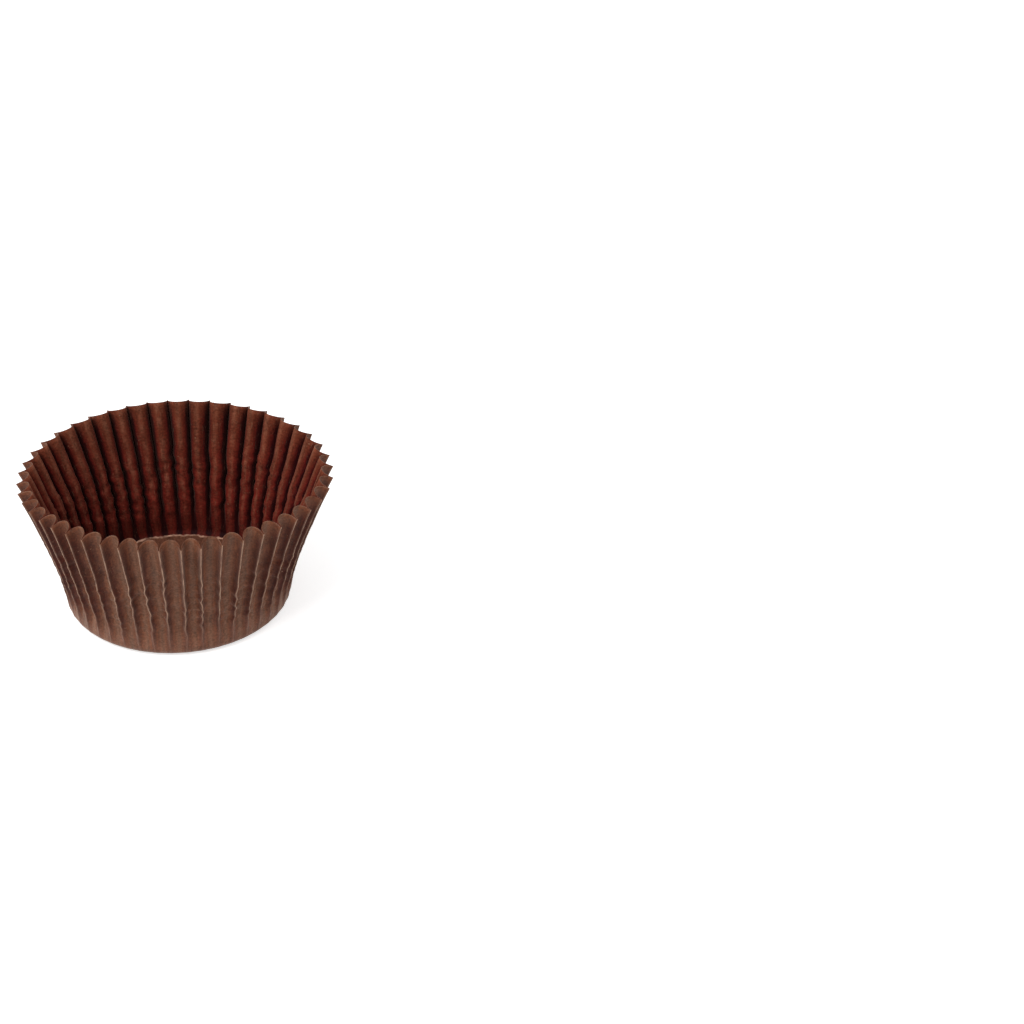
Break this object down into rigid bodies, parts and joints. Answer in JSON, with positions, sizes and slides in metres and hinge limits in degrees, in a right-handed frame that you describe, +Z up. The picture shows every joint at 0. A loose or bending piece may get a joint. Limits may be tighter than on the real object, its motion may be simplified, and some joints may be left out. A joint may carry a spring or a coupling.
{
  "type": "pleated paper baking cup",
  "caption": "Round paper cup for baking: a flat base, a soft fold and a flared wall of fine pleats with a scalloped rim.",
  "frame": {"origin": "middle of the underside of the flat base", "axes": "+Z up and out of the cup's mouth, +X across the wider way of the rim, -Y towards the front"},
  "size_m": [0.0723, 0.0654, 0.0343],
  "materials": {
    "brown_paper": "matte greaseproof paper, dyed chocolate brown, with pale worn fold lines"
  },
  "bodies": {
    "root": {"paper_cup": "brown_paper"}
  },
  "joints": []
}
